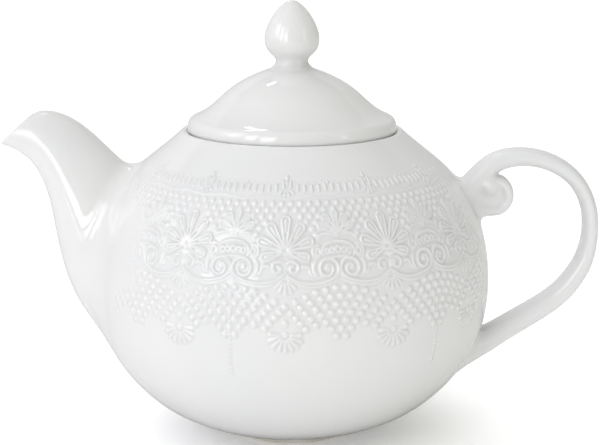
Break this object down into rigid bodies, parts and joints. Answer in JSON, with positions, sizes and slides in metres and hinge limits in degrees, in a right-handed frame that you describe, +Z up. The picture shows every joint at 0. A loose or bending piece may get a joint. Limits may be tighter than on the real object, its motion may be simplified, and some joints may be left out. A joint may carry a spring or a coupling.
{
  "type": "teapot",
  "caption": "Round glazed porcelain teapot with raised lace relief, swan-neck spout, looped strap handle with a scroll, and a lift-off domed lid with an acorn knob.",
  "frame": {"origin": "centre of the foot ring's resting face, on the pot's axis", "axes": "+Z up along the pot's axis, -X towards the spout's lip, +X towards the handle"},
  "size_m": [0.237, 0.157, 0.1728],
  "materials": {
    "glazed_porcelain": "glossy clear glaze over white porcelain",
    "biscuit_porcelain": "matte unglazed resting edge"
  },
  "bodies": {
    "pot": {"pot_body": "glazed_porcelain", "foot_ring": "biscuit_porcelain", "spout": "glazed_porcelain", "handle_strap": "glazed_porcelain", "handle_scroll": "glazed_porcelain"},
    "lid": {"lid_dome": "glazed_porcelain", "lid_collar": "glazed_porcelain", "knob": "glazed_porcelain"}
  },
  "joints": [
    {"name": "lid_lift", "type": "slide", "parent": "pot", "child": "lid", "axis": [0, 0, 1], "range_m": [0, 0.06]}
  ]
}
